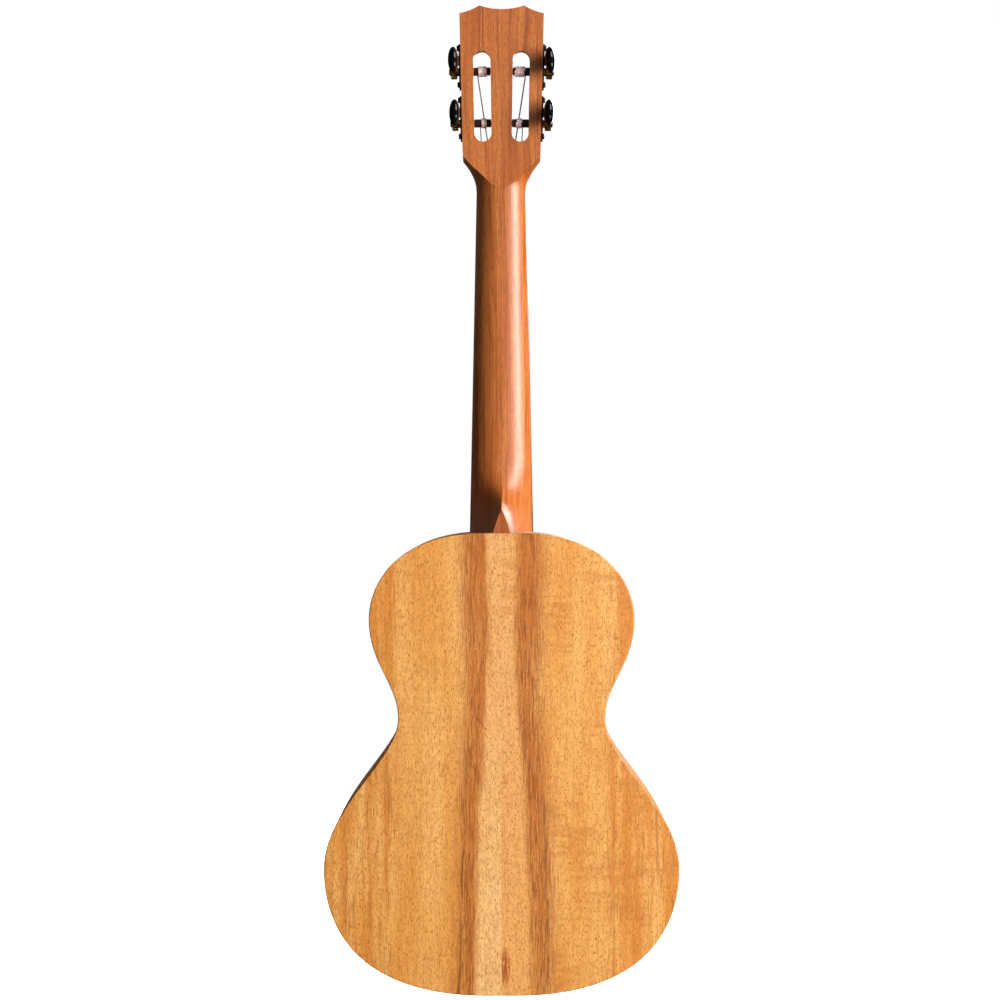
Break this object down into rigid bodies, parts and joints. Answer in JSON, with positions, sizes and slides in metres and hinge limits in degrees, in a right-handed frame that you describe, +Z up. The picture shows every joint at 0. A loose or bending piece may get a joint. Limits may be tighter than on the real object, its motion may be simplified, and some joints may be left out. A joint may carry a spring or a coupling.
{
  "type": "ukulele",
  "caption": "Tenor ukulele with a figure-of-eight acacia sound box, a mahogany neck with a carved heel, and a slotted headstock with geared side tuners.",
  "frame": {"origin": "front edge of the nut on the centre line, in the plane of the neck's flat top, where a hanger's yoke takes the neck under the headstock", "axes": "+Z up the neck to the headstock, +X across it, strings facing -Y and the flat back facing +Y"},
  "size_m": [0.237, 0.0778, 0.6708],
  "materials": {
    "body_wood": "satin lacquer on acacia",
    "neck_wood": "satin lacquer on mahogany",
    "dark_wood": "oiled",
    "block_wood": "bare",
    "lining_wood": "bare",
    "dowel_wood": "bare",
    "spruce": "bare",
    "rosette_wood": "satin lacquer",
    "bone": "polished",
    "nickel": "polished",
    "pearl": "polished",
    "white_plastic": "polished",
    "black_plate": "black plating",
    "black_steel": "black plating",
    "roller_black": "satin",
    "button_plastic": "gloss",
    "gear_brass": "satin",
    "nylon": "translucent"
  },
  "bodies": {
    "instrument": {"back_left": "body_wood", "back_right": "body_wood", "top_left": "body_wood", "top_right": "body_wood", "side_left": "body_wood", "side_right": "body_wood", "lining_back": "lining_wood", "lining_top": "lining_wood", "neck_block": "block_wood", "tail_block": "block_wood", "back_braces": "spruce", "top_braces": "spruce", "fan_braces": "spruce", "bridge_plate": "block_wood", "soundhole_ring": "spruce", "rosette": "rosette_wood", "bridge": "dark_wood", "saddle": "bone", "neck": "neck_wood", "headstock_veneer": "body_wood", "neck_dowels": "dowel_wood", "fretboard": "dark_wood", "frets": "nickel", "fret_markers": "pearl", "side_dots": "white_plastic", "nut": "bone", "tuner_screws": "black_steel", "tuner_plate_g": "black_plate", "tuner_plate_c": "black_plate", "tuner_plate_e": "black_plate", "tuner_plate_a": "black_plate", "string_g": "nylon", "string_c": "nylon", "string_e": "nylon", "string_a": "nylon"},
    "button_shaft_g": {"worm_shaft_g": "black_steel", "button_g": "button_plastic"},
    "string_post_g": {"roller_g": "roller_black", "gear_g": "gear_brass", "gear_screw_g": "black_steel", "string_winding_g": "nylon"},
    "button_shaft_c": {"worm_shaft_c": "black_steel", "button_c": "button_plastic"},
    "string_post_c": {"roller_c": "roller_black", "gear_c": "gear_brass", "gear_screw_c": "black_steel", "string_winding_c": "nylon"},
    "button_shaft_e": {"worm_shaft_e": "black_steel", "button_e": "button_plastic"},
    "string_post_e": {"roller_e": "roller_black", "gear_e": "gear_brass", "gear_screw_e": "black_steel", "string_winding_e": "nylon"},
    "button_shaft_a": {"worm_shaft_a": "black_steel", "button_a": "button_plastic"},
    "string_post_a": {"roller_a": "roller_black", "gear_a": "gear_brass", "gear_screw_a": "black_steel", "string_winding_a": "nylon"}
  },
  "joints": [
    {"name": "worm_g", "type": "hinge", "parent": "instrument", "child": "button_shaft_g", "pos_m": [-0.03232, 0.01516, 0.05065], "axis": [0, -0.9848, 0.1736], "continuous": true},
    {"name": "post_g", "type": "hinge", "parent": "instrument", "child": "string_post_g", "pos_m": [-0.02737, 0.01393, 0.04367], "axis": [-0.9998, -0.0036, -0.0204], "continuous": true},
    {"name": "worm_c", "type": "hinge", "parent": "instrument", "child": "button_shaft_c", "pos_m": [-0.03304, 0.02124, 0.08512], "axis": [0, -0.9848, 0.1736], "continuous": true},
    {"name": "post_c", "type": "hinge", "parent": "instrument", "child": "string_post_c", "pos_m": [-0.02809, 0.02, 0.07814], "axis": [-0.9998, -0.0036, -0.0204], "continuous": true},
    {"name": "worm_e", "type": "hinge", "parent": "instrument", "child": "button_shaft_e", "pos_m": [0.03304, 0.02124, 0.08512], "axis": [0, -0.9848, 0.1736], "continuous": true},
    {"name": "post_e", "type": "hinge", "parent": "instrument", "child": "string_post_e", "pos_m": [0.02809, 0.02, 0.07814], "axis": [0.9998, -0.0036, -0.0204], "continuous": true},
    {"name": "worm_a", "type": "hinge", "parent": "instrument", "child": "button_shaft_a", "pos_m": [0.03232, 0.01516, 0.05065], "axis": [0, -0.9848, 0.1736], "continuous": true},
    {"name": "post_a", "type": "hinge", "parent": "instrument", "child": "string_post_a", "pos_m": [0.02737, 0.01393, 0.04367], "axis": [0.9998, -0.0036, -0.0204], "continuous": true}
  ],
  "couplings": [
    {"joint": "post_g", "follows": "worm_g", "ratio": -0.071429},
    {"joint": "post_c", "follows": "worm_c", "ratio": -0.071429},
    {"joint": "post_e", "follows": "worm_e", "ratio": -0.071429},
    {"joint": "post_a", "follows": "worm_a", "ratio": -0.071429}
  ]
}
